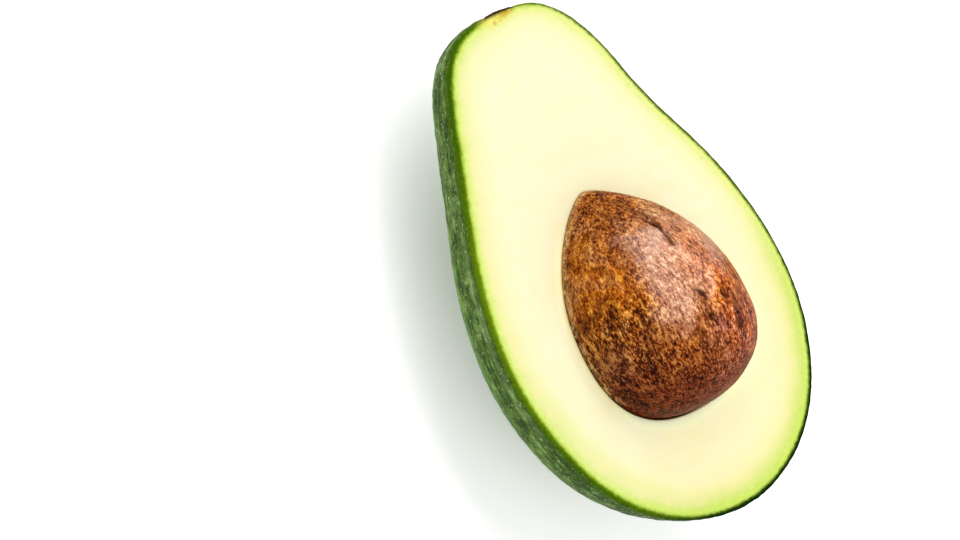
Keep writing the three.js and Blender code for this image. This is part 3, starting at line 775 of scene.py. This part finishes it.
class Nodes:
    """Short calls for building a node tree."""

    def __init__(self, name):
        self.mat = bpy.data.materials.new(name)
        self.mat.use_nodes = True
        self.nt = self.mat.node_tree
        self.nt.nodes.clear()
        self.out = self.nt.nodes.new("ShaderNodeOutputMaterial")
        self.bsdf = self.nt.nodes.new("ShaderNodeBsdfPrincipled")
        self.nt.links.new(self.bsdf.outputs["BSDF"], self.out.inputs["Surface"])
        co = self.nt.nodes.new("ShaderNodeTexCoord")
        sc = self.nt.nodes.new("ShaderNodeVectorMath")
        sc.operation = "SCALE"
        self.link(co.outputs["Object"], sc.inputs[0])
        sc.inputs["Scale"].default_value = 1000.0
        self.mm = sc.outputs[0]

    def link(self, a, b):
        self.nt.links.new(a, b)

    def stretch(self, vec, scale):
        n = self.nt.nodes.new("ShaderNodeVectorMath")
        n.operation = "MULTIPLY"
        self.link(vec, n.inputs[0])
        n.inputs[1].default_value = scale
        return n.outputs[0]

    def dot(self, vec, direction):
        n = self.nt.nodes.new("ShaderNodeVectorMath")
        n.operation = "DOT_PRODUCT"
        self.link(vec, n.inputs[0])
        n.inputs[1].default_value = direction
        return n.outputs["Value"]

    def noise(self, vec, scale, detail=2.0, rough=0.5, distortion=0.0):
        n = self.nt.nodes.new("ShaderNodeTexNoise")
        self.link(vec, n.inputs["Vector"])
        n.inputs["Scale"].default_value = scale
        n.inputs["Detail"].default_value = detail
        n.inputs["Roughness"].default_value = rough
        n.inputs["Distortion"].default_value = distortion
        return n.outputs["Fac"]

    def voronoi(self, vec, scale, feature="F1", out="Distance", randomness=1.0):
        n = self.nt.nodes.new("ShaderNodeTexVoronoi")
        n.feature = feature
        self.link(vec, n.inputs["Vector"])
        n.inputs["Scale"].default_value = scale
        n.inputs["Randomness"].default_value = randomness
        return n.outputs[out]

    def ramp(self, fac, lo, hi, stops):
        """Colours at given values of `fac`, between lo and hi."""
        f = self.remap(fac, lo, hi, smoothstep=False)
        n = self.nt.nodes.new("ShaderNodeValToRGB")
        e = n.color_ramp.elements
        while len(e) < len(stops):
            e.new(0.5)
        for el, (pos, col) in zip(e, stops):
            el.position = (pos - lo) / (hi - lo)
            el.color = col if len(col) == 4 else (*col, 1)
        self.link(f, n.inputs["Fac"])
        return n.outputs["Color"]

    def remap(self, v, a, b, c=0.0, d=1.0, smoothstep=True):
        n = self.nt.nodes.new("ShaderNodeMapRange")
        n.interpolation_type = "SMOOTHSTEP" if smoothstep else "LINEAR"
        self.link(v, n.inputs["Value"])
        n.inputs["From Min"].default_value = a
        n.inputs["From Max"].default_value = b
        n.inputs["To Min"].default_value = c
        n.inputs["To Max"].default_value = d
        return n.outputs["Result"]

    def math(self, op, a, b=None, clamp=False):
        n = self.nt.nodes.new("ShaderNodeMath")
        n.operation = op
        n.use_clamp = clamp
        for i, v in enumerate((a, b)):
            if v is None:
                continue
            if isinstance(v, bpy.types.NodeSocket):
                self.link(v, n.inputs[i])
            else:
                n.inputs[i].default_value = v
        return n.outputs[0]

    def mul(self, a, b):
        return self.math("MULTIPLY", a, b)

    def add(self, a, b):
        return self.math("ADD", a, b)

    def mix(self, fac, a, b, mode="MIX"):
        n = self.nt.nodes.new("ShaderNodeMix")
        n.data_type = "RGBA"
        n.blend_type = mode
        for sock, v in ((n.inputs[0], fac), (n.inputs[6], a), (n.inputs[7], b)):
            if isinstance(v, bpy.types.NodeSocket):
                self.link(v, sock)
            else:
                sock.default_value = v
        return n.outputs[2]

    def attr(self, name):
        n = self.nt.nodes.new("ShaderNodeAttribute")
        n.attribute_name = name
        return n.outputs["Fac"]

    def xyz(self, vec):
        n = self.nt.nodes.new("ShaderNodeSeparateXYZ")
        self.link(vec, n.inputs[0])
        return n.outputs

    def bump(self, height, strength, distance, normal=None):
        n = self.nt.nodes.new("ShaderNodeBump")
        n.inputs["Strength"].default_value = strength
        n.inputs["Distance"].default_value = distance
        self.link(height, n.inputs["Height"])
        if normal is not None:
            self.link(normal, n.inputs["Normal"])
        return n.outputs["Normal"]

    def distance(self, vec, point):
        n = self.nt.nodes.new("ShaderNodeVectorMath")
        n.operation = "DISTANCE"
        self.link(vec, n.inputs[0])
        n.inputs[1].default_value = point
        return n.outputs["Value"]

    def centred(self, v, amount):
        return self.mul(self.math("SUBTRACT", v, 0.5), amount)


def cut_colour(k, P):
    """Colour through the cut from the peel's outside to the pale middle, by distance from the rim."""
    x = k.xyz(P)
    e, w = k.attr("edge_mm"), k.attr("peel_w")
    u = k.math("SUBTRACT", e, w)
    soft = k.remap(u, 0.2, 3.5, 0.10, 1.0)
    wob = k.mul(k.centred(k.noise(P, 0.16, 3, 0.55), 2.2), soft)
    fine = k.mul(k.centred(k.noise(P, 1.2, 3, 0.6), 0.8), k.mul(k.remap(u, -1.2, 0.4, 0.35, 1.0), k.remap(u, 3.2, 1.2, 0.25, 1.0)))
    u = k.add(u, k.add(wob, fine))
    dark = k.ramp(u, -1.9, 11, [
        (-1.75, on_cut(70, 102, 30)), (-1.2, on_cut(62, 94, 10)), (-0.8, on_cut(58, 90, 3)), (-0.45, on_cut(74, 106, 5)),
        (-0.18, on_cut(104, 136, 18)), (0.0, on_cut(142, 172, 46)), (0.25, on_cut(178, 206, 76)),
        (0.55, on_cut(210, 234, 110)), (1.0, on_cut(228, 243, 140)), (1.6, on_cut(234, 244, 160)),
        (2.6, on_cut(241, 246, 178)), (4.0, on_cut(249, 250, 194)), (6.0, on_cut(254, 251, 204)),
        (10.5, on_cut(255, 252, 213))])
    light = k.ramp(u, -1.9, 11, [
        (-1.75, on_cut(78, 104, 36)), (-1.2, on_cut(88, 116, 32)), (-0.8, on_cut(98, 126, 24)), (-0.45, on_cut(108, 136, 20)),
        (-0.18, on_cut(126, 156, 32)), (0.0, on_cut(152, 181, 54)), (0.25, on_cut(190, 214, 88)),
        (0.55, on_cut(218, 240, 120)), (1.0, on_cut(230, 244, 144)), (1.6, on_cut(236, 244, 164)),
        (2.6, on_cut(242, 246, 180)), (4.0, on_cut(250, 250, 196)), (6.0, on_cut(254, 251, 205)),
        (10.5, on_cut(255, 252, 213))])
    grain = k.noise(P, 1.3, 4, 0.75)
    tone = k.add(k.attr("peel_tone"), k.centred(grain, 1.8))
    left = k.mix(k.math("MINIMUM", k.math("MAXIMUM", tone, 0.0), 1.0), dark, light)
    # the outer part of the peel is broken up like the skin itself
    worn = k.mul(k.remap(k.math("SUBTRACT", e, k.centred(k.noise(P, 0.8, 4, 0.7), 1.6)), 0.42, 0.02),
                 k.remap(u, -0.35, -0.7))
    left = k.mix(k.mul(worn, 0.85), left, k.ramp(grain, 0.2, 0.8, [
        (0.36, on_cut(42, 62, 8)), (0.5, on_cut(84, 110, 40)), (0.64, on_cut(118, 144, 78))]))
    lower = k.ramp(u, -1.7, 11, [
        (-1.0, on_cut(26, 42, 2)), (-0.5, on_cut(36, 56, 5)), (-0.28, on_cut(72, 98, 18)),
        (-0.1, on_cut(134, 163, 54)), (0.1, on_cut(178, 204, 88)), (0.34, on_cut(208, 232, 112)),
        (0.6, on_cut(220, 240, 126)), (1.1, on_cut(216, 236, 120)), (1.7, on_cut(219, 236, 124)),
        (2.6, on_cut(229, 239, 145)), (4.2, on_cut(243, 244, 170)), (6.0, on_cut(253, 248, 190)),
        (9.5, on_cut(253, 250, 202))])
    upper = k.ramp(u, -1.7, 11, [
        (-1.0, on_cut(60, 78, 14)), (-0.4, on_cut(84, 102, 26)), (-0.2, on_cut(112, 134, 44)),
        (-0.04, on_cut(150, 170, 74)), (0.1, on_cut(190, 206, 108)), (0.28, on_cut(222, 236, 134)),
        (0.5, on_cut(237, 248, 150)), (0.95, on_cut(238, 246, 154)), (1.5, on_cut(242, 246, 168)),
        (2.3, on_cut(248, 248, 186)), (3.4, on_cut(252, 250, 198)), (5.5, on_cut(254, 251, 206)),
        (9.5, on_cut(255, 252, 213))])
    right = k.mix(k.remap(x[1], -26, 4), lower, upper)
    side = k.remap(k.add(x[0], k.mul(x[1], -0.30)), -16, 8)
    col = k.mix(side, left, right)
    # the lime layer is mottled
    mottle = k.noise(P, 0.9, 3, 0.65)
    lime = k.mul(k.remap(u, 0.0, 0.5), k.remap(u, 3.6, 1.4))
    col = k.mix(k.mul(lime, k.remap(mottle, 0.52, 0.70, 0, 0.55)), col, on_cut(236, 252, 142))
    col = k.mix(k.mul(lime, k.remap(mottle, 0.46, 0.32, 0, 0.25)), col, on_cut(200, 224, 104))
    # a stronger lime line at the blossom end
    wide = k.mul(k.mul(k.remap(x[0], -9, -18), k.remap(x[1], -8, -20)), k.mul(k.remap(x[1], -52, -44), k.mul(
        k.remap(u, 0.8, 2.0), k.remap(u, 7.5, 4.0))))
    col = k.mix(wide, col, k.mix(1.0, col, (0.90, 0.98, 0.80, 1), "MULTIPLY"))
    low = k.mul(k.remap(x[1], -34, -54), k.mul(k.remap(u, 0.05, 0.4), k.remap(u, 1.6, 0.7)))
    return k.mix(k.mul(low, 0.5), col, on_cut(206, 236, 94)), u, x


# where the flesh under the stem button is stained
STAIN = (4.7, 55.95)


def stem_stain(k, P, col):
    wobble = k.centred(k.noise(P, 0.9, 3, 0.65), 1.7)
    x = k.xyz(P)
    # depth below the outline here, which runs down to the left
    under = k.math("SUBTRACT", k.add(k.mul(x[0], -0.055), 57.25), x[1])
    yellow = k.add(k.distance(k.stretch(P, (0.52, 1.15, 1)), (2.8 * 0.52, 56.4 * 1.15, CUT)), wobble)
    col = k.mix(k.remap(yellow, 0.7, 3.3, 0.9, 0.0), col, on_cut(249, 238, 122))
    orange = k.add(k.distance(k.stretch(P, (0.50, 1.25, 1)), (STAIN[0] * 0.50, STAIN[1] * 1.25, CUT)), k.mul(wobble, 0.75))
    col = k.mix(k.remap(orange, 0.2, 1.6, 0.9, 0.0), col, on_cut(216, 184, 62))
    # the tissue right under the scab is brown
    brown = k.mul(k.remap(k.add(under, k.mul(wobble, 0.3)), 1.05, 0.35), k.mul(k.remap(x[0], -2.8, 0.2), k.remap(x[0], 8.6, 6.8)))
    col = k.mix(k.mul(brown, 0.75), col, on_cut(110, 90, 14))
    flecks = k.mul(k.remap(k.noise(P, 1.7, 3, 0.6), 0.53, 0.62), k.remap(orange, 0.6, 2.0, 0.5, 0.0))
    col = k.mix(flecks, col, on_cut(150, 122, 24))
    dot = k.add(k.distance(P, (1.7, 55.2, CUT)), k.mul(wobble, 0.25))
    return k.mix(k.remap(dot, 0.15, 0.75, 0.55, 0.0), col, on_cut(204, 156, 84))


def skin_material():
    k = Nodes("avocado_peel")
    P = k.mm
    b = k.bsdf
    x = k.xyz(P)
    # coordinates that run with the peel: along the fruit, and round it
    ribs = k.nt.nodes.new("ShaderNodeCombineXYZ")
    k.link(k.mul(k.attr("along"), 0.12), ribs.inputs[0])
    k.link(k.attr("girth"), ribs.inputs[1])
    k.link(k.mul(x[0], 0.06), ribs.inputs[2])
    ribs = ribs.outputs[0]
    m = k.add(k.mul(k.noise(ribs, 0.85, 5, 0.9), 0.62), k.mul(k.noise(P, 0.30, 5, 0.85), 0.60))
    m = k.add(k.math("SUBTRACT", m, 0.11), k.centred(k.noise(P, 0.17, 2, 0.6), 0.34))
    # the band just under the rim is greyer and darker than the peel lower down: painted shade, with a grey wax bloom
    # and painted reflection of the pale surroundings
    band_shade_and_sheen = k.ramp(m, 0.3, 0.7, [
        (0.33, srgb(14, 32, 4)), (0.43, srgb(44, 70, 13)), (0.50, srgb(71, 100, 26)),
        (0.57, srgb(100, 130, 56)), (0.68, srgb(156, 182, 120))])
    deep = k.ramp(m, 0.3, 0.7, [
        (0.33, srgb(28, 60, 2)), (0.43, srgb(54, 98, 6)), (0.50, srgb(78, 126, 12)),
        (0.57, srgb(102, 150, 24)), (0.68, srgb(142, 180, 60))])
    under = k.add(k.math("SUBTRACT", CUT, x[2]), k.centred(k.noise(P, 0.15, 2, 0.5), 4.0))
    base = k.mix(k.remap(under, 7.0, 14.0), band_shade_and_sheen, deep)
    # painted sheen: a paler, greyer belt just under the rim on the left side
    dip = k.add(x[2], k.centred(k.noise(P, 0.12, 3, 0.6), 3.0))
    painted_sheen_belt = k.mul(k.mul(k.remap(dip, CUT - 4.0, CUT - 2.0), k.remap(dip, CUT - 0.6, CUT - 1.6)),
                 k.mul(k.mul(k.remap(x[1], -30, -16), k.remap(x[1], 36, 12)), k.remap(x[0], -4, -14)))
    base = k.mix(k.mul(painted_sheen_belt, 0.18), base, srgb(160, 182, 132))
    # the blossom end is darker and bluer: painted shade
    low = k.remap(k.add(x[1], k.centred(k.noise(P, 0.2, 2, 0.5), 12.0)), -22, -44)
    low = k.mul(low, k.remap(under, 9.0, 18.0, 1.0, 0.45))
    base = k.mix(k.mul(low, k.remap(m, 0.45, 0.6, 0.65, 0.3)), base, srgb(24, 56, 20))
    # lenticels: pale specks of two sizes
    v = k.voronoi(k.stretch(P, (1, 0.85, 1)), 0.50)
    size = k.noise(P, 0.5, 1, 0.5)
    spot = k.remap(k.math("SUBTRACT", v, k.remap(size, 0.3, 0.7, 0.01, 0.09, False)), 0.02, 0.10, 1, 0)
    v2 = k.voronoi(k.stretch(P, (1, 0.9, 1)), 0.85)
    spot2 = k.remap(v2, 0.10, 0.22, 0.8, 0)
    spots = k.math("MAXIMUM", spot, spot2)
    base = k.mix(k.mul(spots, 0.8), base, k.mix(k.remap(under, 7.0, 14.0), srgb(186, 208, 136), srgb(188, 216, 104)))
    # close under the cut the peel is a purer, darker green
    cutc, u, _ = cut_colour(k, P)
    near = k.remap(k.add(x[2], k.centred(k.noise(P, 1.1, 3, 0.6), 1.1)), CUT - 1.1, CUT - 0.25)
    base = k.mix(k.mul(near, 0.75), base, srgb(60, 90, 8))
    # halo round the stem
    ds = k.distance(P, (STEM[0], STEM[1], CUT))
    halo = k.mul(k.remap(ds, 4.0, 7.0, 1, 0), k.remap(k.noise(P, 0.6, 2, 0.5), 0.3, 0.6))
    base = k.mix(k.mul(halo, 0.75), base, srgb(150, 158, 30))
    col = k.mix(k.attr("outer"), stem_stain(k, P, cutc), base)
    k.link(col, b.inputs["Base Color"])
    rough = k.remap(k.noise(P, 1.4, 2, 0.5), 0.3, 0.7, 0.32, 0.5)
    k.link(k.mul(rough, k.remap(k.attr("outer"), 0, 1, 1.7, 1.0)), b.inputs["Roughness"])
    b.inputs["IOR"].default_value = 1.42
    b.inputs["Specular IOR Level"].default_value = 0.02
    k.link(k.mul(k.attr("outer"), k.remap(under, 7.0, 17.0, 0.03, 0.32)), b.inputs["Coat Weight"])
    b.inputs["Coat Roughness"].default_value = 0.3
    h = k.add(k.noise(k.stretch(P, (1, 0.6, 1)), 1.0, 4, 0.6), k.mul(spots, 0.2))
    k.link(k.bump(h, 0.6, 0.00045), b.inputs["Normal"])
    k.link(k.bump(h, 0.6, 0.00045), b.inputs["Coat Normal"])
    return k.mat


def flesh_material():
    k = Nodes("avocado_flesh")
    P = k.mm
    b = k.bsdf
    col, u, x = cut_colour(k, P)
    # faint warm breaths in the pale flesh
    breath = k.noise(k.stretch(P, (0.55, 1.0, 1)), 0.20, 3, 0.6)
    peach = k.mul(k.remap(breath, 0.48, 0.72), k.remap(u, 0.8, 3.0, 0, 0.42))
    # and along the left side just inside the lime, and under the seed
    leftish = k.mul(k.mul(k.remap(x[0], -6, -16), 0.6), k.mul(k.remap(u, 1.2, 2.4), k.remap(u, 6.0, 3.2)))
    beneath = k.mul(k.remap(k.distance(k.stretch(P, (0.7, 1.3, 1)), (-9 * 0.7, -39.5 * 1.3, CUT)), 2.5, 10.0, 1.0, 0.0),
                    k.remap(u, 1.5, 4.0))
    patch = k.mul(k.math("MAXIMUM", leftish, k.mul(beneath, 0.75)), k.remap(breath, 0.34, 0.6, 0.2, 0.9))
    col = k.mix(k.math("MAXIMUM", k.mul(peach, 0.7), patch), col, on_cut(255, 244, 186))
    col = stem_stain(k, P, col)
    # paler round the blunt end of the seed: painted light against its shadow
    l = k.attr("lip_mm")
    pale = k.mul(k.remap(l, 7.5, 0.3), k.remap(k.add(x[1], k.mul(x[0], -0.35)), -18, -27))
    col = k.mix(pale, col, k.mix(1.0, col, (1.12, 1.14, 1.16, 1), "MULTIPLY"))
    # painted light over a wider patch beyond the blunt end, against the seed's shadow
    far = k.remap(k.distance(k.stretch(P, (0.72, 1.0, 1)), (-6.5 * 0.72, -37.5, CUT)), 1.0, 15.0, 1.0, 0.0)
    col = k.mix(k.mul(far, k.remap(u, 1.0, 5.0)), col, k.mix(1.0, col, (1.09, 1.10, 1.14, 1), "MULTIPLY"))
    # painted light: a lighter ring close round it on the left and at the blunt end, against the shade beside the seed
    ring = k.mul(k.remap(l, 2.4, 0.3), k.remap(k.add(x[0], k.mul(k.add(x[1], 10.0), 0.5)), 8, -6))
    col = k.mix(ring, col, k.mix(1.0, col, (1.16, 1.17, 1.03, 1), "MULTIPLY"))
    ring = k.mul(k.remap(l, 3.8, 0.8), k.remap(x[1], -22, -30))
    col = k.mix(ring, col, k.mix(1.0, col, (1.12, 1.14, 1.13, 1), "MULTIPLY"))
    col = k.mix(1.0, col, (0.93, 0.93, 0.93, 1), "DARKEN")
    # the lip and wall of the cavity, stained by the seed coat; painted light: except on the lower left the wall is kept
    # pale, so the narrow gap shows little shade
    lw = k.add(l, k.centred(k.noise(P, 0.8, 3, 0.6), 0.30))
    dim = k.mul(k.remap(x[0], 4, -10), k.remap(x[1], 2, -8))
    col = k.mix(k.remap(lw, 0.02, 0.5, 0.5, 0.0), col, on_cut(238, 216, 146))
    wall = k.mix(dim, srgb(226, 182, 112), srgb(122, 76, 30))
    col = k.mix(k.remap(l, -0.8, 0.02, 0.95, 0.0), col, wall)
    k.link(col, b.inputs["Base Color"])
    k.link(k.remap(k.noise(P, 0.7, 3, 0.5), 0.3, 0.7, 0.38, 0.52), b.inputs["Roughness"])
    b.inputs["IOR"].default_value = 1.38
    b.inputs["Subsurface Weight"].default_value = 0.5
    b.inputs["Subsurface Radius"].default_value = (1.0, 0.85, 0.45)
    b.inputs["Subsurface Scale"].default_value = 0.0006
    b.inputs["Specular IOR Level"].default_value = 0.12
    h = k.add(k.noise(P, 0.9, 4, 0.6), k.mul(k.noise(k.stretch(P, (1.0, 0.12, 1.0)), 1.6, 2, 0.5), 0.35))
    k.link(k.bump(h, 0.25, 0.00012), b.inputs["Normal"])
    return k.mat


def seed_material():
    k = Nodes("seed_coat")
    P = k.mm
    b = k.bsdf
    L = k.stretch(P, (1.0, 0.5, 1.0))  # the grain runs along the seed
    F = k.stretch(P, (1.0, 0.30, 1.0))
    calm = k.attr("calm")
    m = k.add(k.centred(k.noise(L, 0.17, 2, 0.7), 0.36), k.centred(k.noise(L, 0.62, 2, 0.7), 0.36))
    m = k.add(m, k.centred(k.noise(F, 1.3, 1, 0.6), 0.48))
    m = k.add(m, k.centred(k.noise(L, 2.5, 2, 0.8), 1.05))
    m = k.add(m, k.centred(k.attr("pit"), -0.14))
    m = k.add(k.mul(m, calm), k.remap(k.attr("bloom_and_highlight"), 0.0, 1.0, 0.5, 0.52))
    base = k.ramp(m, 0.25, 0.75, [
        (0.29, srgb(52, 15, 1)), (0.39, srgb(100, 40, 5)), (0.48, srgb(142, 70, 14)),
        (0.56, srgb(176, 98, 30)), (0.64, srgb(208, 134, 60)), (0.73, srgb(236, 180, 108))])
    # the rosy patch over the middle: painted highlight as well as the coat's colour
    tone = k.ramp(m, 0.25, 0.75, [
        (0.30, srgb(100, 48, 24)), (0.42, srgb(152, 88, 56)), (0.50, srgb(188, 122, 88)),
        (0.58, srgb(212, 150, 116)), (0.70, srgb(242, 200, 170))])
    base = k.mix(k.mul(k.attr("bloom_and_highlight"), 0.8), base, tone)
    # painted highlight near the top of the seed
    base = k.mix(k.mul(k.attr("painted_glint"), 0.45), base, k.mix(m, srgb(190, 130, 104), srgb(255, 228, 208)))
    # fine dark grains and pale specks
    grain = k.noise(L, 2.6, 3, 0.75)
    base = k.mix(k.mul(k.remap(grain, 0.54, 0.68, 0, 0.5), calm), base, srgb(48, 16, 3))
    speck = k.noise(F, 3.0, 2, 0.6, 0.3)
    base = k.mix(k.mul(k.remap(speck, 0.56, 0.66, 0, 0.6), calm), base, srgb(230, 168, 104))
    # broad tints: golden left flank, rusty right flank and a dark tip; painted light: paler upper right (highlight),
    # darker blunt end (shade), purple lower right (reflection)
    base = k.mix(k.mul(k.attr("gold"), 0.8), base, k.mix(1.0, base, (1.30, 1.42, 0.80, 1), "MULTIPLY"))
    base = k.mix(k.attr("ember"), base, k.mix(1.0, base, (1.20, 1.08, 1.05, 1), "MULTIPLY"))
    # painted highlight on the upper right flank
    base = k.mix(k.mul(k.attr("tan"), 0.55), base, k.mix(m, srgb(146, 90, 58), srgb(240, 198, 162)))
    base = k.mix(k.attr("lift"), base, k.mix(k.remap(m, 0.36, 0.64), srgb(120, 68, 34), srgb(255, 208, 160)))
    base = k.mix(k.attr("drop"), base, k.mix(1.0, base, (0.20, 0.11, 0.10, 1), "MULTIPLY"))
    base = k.mix(k.attr("umber"), base, k.mix(1.0, base, (0.80, 0.72, 0.62, 1), "MULTIPLY"))
    # painted shade at the blunt end and on the lower left flank
    base = k.mix(k.attr("shade"), base, k.mix(1.0, base, (0.33, 0.19, 0.26, 1), "MULTIPLY"))
    base = k.mix(k.attr("rust"), base, k.mix(1.0, base, (1.04, 0.90, 0.62, 1), "MULTIPLY"))
    # painted reflection: purple on the lower right
    base = k.mix(k.attr("plum_reflection"), base, k.mix(1.0, base, (0.98, 0.95, 1.75, 1), "MULTIPLY"))
    base = k.mix(k.mul(k.attr("dark"), 0.92), base, srgb(40, 12, 3))
    # a paler, thinner strip of the coat close over the cut on the left, partly painted reflection of the bright flesh
    x = k.xyz(P)
    h = k.add(k.math("SUBTRACT", x[2], CUT), k.centred(k.noise(P, 0.9, 3, 0.65), 0.9))
    reach = k.add(h, k.mul(k.mul(k.remap(x[1], -8, -4), k.remap(x[1], 4, 1.5)), -0.8))
    strip = k.mul(k.mul(k.remap(reach, 2.1, 1.0), k.remap(x[0], -5, -9)),
                  k.mul(k.remap(x[1], -27, -22), k.remap(k.noise(P, 0.5, 3, 0.6), 0.34, 0.50)))
    base = k.mix(k.mul(strip, 0.8), base, k.ramp(m, 0.3, 0.7, [(0.36, srgb(132, 82, 34)), (0.64, srgb(250, 206, 140))]))
    # and round the tip the coat fades into the flesh
    fade = k.mul(k.remap(k.add(h, k.mul(k.remap(x[1], 9, 15), -0.7)), 1.5, 0.2), k.remap(k.add(x[1], k.mul(x[0], -0.15)), -3, 5))
    base = k.mix(k.mul(fade, 0.75), base, k.ramp(m, 0.3, 0.7, [(0.38, srgb(160, 108, 56)), (0.62, srgb(232, 182, 118))]))
    k.link(base, b.inputs["Base Color"])
    k.link(k.remap(grain, 0.35, 0.7, 0.34, 0.5), b.inputs["Roughness"])
    b.inputs["IOR"].default_value = 1.5
    b.inputs["Specular IOR Level"].default_value = 0.03
    gloss = k.remap(k.noise(L, 1.6, 3, 0.7), 0.36, 0.64, 0.55, 1.15)
    gloss = k.mul(gloss, k.remap(k.attr("dark"), 0.3, 0.9, 1.0, 0.12))  # the marks are dull
    k.link(k.mul(k.remap(k.attr("sheen"), 0.0, 1.0, 0.02, 0.95), gloss), b.inputs["Coat Weight"])
    b.inputs["Coat Roughness"].default_value = 0.28
    h = k.add(k.noise(F, 2.0, 4, 0.7), k.mul(k.noise(P, 4.2, 2, 0.5), 0.4))
    k.link(k.bump(h, 0.8, 0.0003), b.inputs["Normal"])
    k.link(k.bump(h, 0.5, 0.0003), b.inputs["Coat Normal"])
    return k.mat


def cork_material():
    k = Nodes("stem_cork")
    P = k.mm
    b = k.bsdf
    r = k.attr("r_rel")
    d = k.attr("depth")
    n = k.noise(P, 1.6, 4, 0.65)
    face = k.ramp(n, 0, 1, [(0.32, srgb(120, 76, 38)), (0.5, srgb(186, 134, 82)), (0.68, srgb(232, 196, 150))])
    rw = k.add(r, k.centred(k.noise(P, 1.1, 2, 0.5), 0.45))
    face = k.mix(k.remap(rw, 0.62, 0.84), face, srgb(44, 24, 12))
    flecks = k.remap(k.noise(P, 3.4, 2, 0.6), 0.56, 0.68)
    face = k.mix(k.mul(flecks, 0.8), face, srgb(60, 32, 14))
    cut = k.mix(k.remap(n, 0.4, 0.65), srgb(24, 20, 4), srgb(72, 58, 12))
    x = k.xyz(P)
    # the straight side shows as a dark section
    face = k.mix(k.remap(k.add(x[2], k.centred(n, 1.6)), CUT - 2.2, CUT - 0.5, 0, 0.9), face, srgb(34, 32, 6))
    col = k.mix(k.math("MAXIMUM", k.remap(d, 0.02, 0.3), k.remap(x[2], CUT - 0.3, CUT - 0.05)), face, cut)
    k.link(col, b.inputs["Base Color"])
    k.link(k.remap(n, 0.3, 0.7, 0.75, 0.95), b.inputs["Roughness"])
    b.inputs["IOR"].default_value = 1.4
    b.inputs["Specular IOR Level"].default_value = 0.15
    k.link(k.bump(k.noise(P, 2.4, 4, 0.65), 0.7, 0.00025), b.inputs["Normal"])
    return k.mat


def floor_material():
    k = Nodes("pale_floor")
    n = k.noise(k.mm, 0.01, 2, 0.5)
    k.link(k.ramp(n, 0, 1, [(0.3, (0.85, 0.835, 0.855, 1)), (0.7, (0.87, 0.855, 0.875, 1))]), k.bsdf.inputs["Base Color"])
    k.bsdf.inputs["Roughness"].default_value = 0.9
    k.bsdf.inputs["Specular IOR Level"].default_value = 0.1
    k.bsdf.inputs["Emission Color"].default_value = (1, 1, 1, 1)
    k.bsdf.inputs["Emission Strength"].default_value = 0.3
    return k.mat


# ------------------------------------------------------------------ camera
cam_data = bpy.data.cameras.new("camera")
cam = bpy.data.objects.new("camera", cam_data)
bpy.context.scene.collection.objects.link(cam)
cam_data.sensor_width = 36.0
cam_data.lens = 136.0
cam_data.clip_start, cam_data.clip_end = 0.02, 20.0
right = Vector((0.7482432537805365, -0.4847991184078204, 0.45288171520046566))
down = Vector((-0.4538041851644625, -0.8719702886194362, -0.18365613872712033))
fwd = Vector((0.4839357340589077, -0.06810015092448138, -0.8724497548540713))
cam.matrix_world = Matrix((
    (right.x, -down.x, -fwd.x, -384.2788 * MM),
    (right.y, -down.y, -fwd.y, 63.2012 * MM),
    (right.z, -down.z, -fwd.z, (639.4801 + CUT) * MM),
    (0, 0, 0, 1)))
bpy.context.scene.camera = cam

# ------------------------------------------------------------------ pieces
pieces = [
    (build_skin(), "skin", "avocado_skin", skin_material()),
    (build_flesh(), "flesh", "avocado_flesh", flesh_material()),
    (build_seed(), "seed", "avocado_seed", seed_material()),
    (build_button(), "stem_button", "stem_cork", cork_material()),
]
for ob, node, slot, mat in pieces:
    ob.data.materials.append(mat)
    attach(ob, "root")
    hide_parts(node)

# ------------------------------------------------------------------ stage and light
me = bpy.data.meshes.new("floor")
n = 96
ring = [(4.0 * math.cos(2 * math.pi * i / n), 4.0 * math.sin(2 * math.pi * i / n), 0.0) for i in range(n)]
me.from_pydata(ring, [], [list(range(n))])
floor = bpy.data.objects.new("floor", me)
bpy.context.scene.collection.objects.link(floor)
me.materials.append(floor_material())

world = bpy.data.worlds.new("studio")
bpy.context.scene.world = world
world.use_nodes = True
bg = world.node_tree.nodes.get("Background") or world.node_tree.nodes.new("ShaderNodeBackground")
bg.inputs["Color"].default_value = (1, 1, 1, 1)
bg.inputs["Strength"].default_value = 0.38


def softbox(name, direction, dist, size, power, long_axis, color=(1, 1, 1)):
    """A rectangular light; size is across and along `long_axis`."""
    d = bpy.data.lights.new(name, "AREA")
    d.shape = "RECTANGLE"
    d.size, d.size_y = size
    d.energy = power
    d.color = color
    o = bpy.data.objects.new(name, d)
    v = Vector(direction).normalized()
    y = Vector(long_axis)
    y = (y - v * y.dot(v)).normalized()
    x = y.cross(v)
    at = Vector((0, 0, CUT * MM)) + v * dist
    o.matrix_world = Matrix(((x.x, y.x, v.x, at.x), (x.y, y.y, v.y, at.y), (x.z, y.z, v.z, at.z), (0, 0, 0, 1)))
    bpy.context.scene.collection.objects.link(o)
    return o


softbox("key", (0.30, 0.50, 0.81), 1.5, (0.70, 1.58), 22.0, (0.05, 0.85, -0.52))
softbox("overhead", (-0.05, -0.60, 0.80), 1.3, (1.8, 1.6), 14.6, (1, 0, 0))

scene = bpy.context.scene
scene.view_settings.view_transform = "Standard"
scene.view_settings.look = "None"
scene.view_settings.exposure = 0.0
scene.view_settings.gamma = 1.0
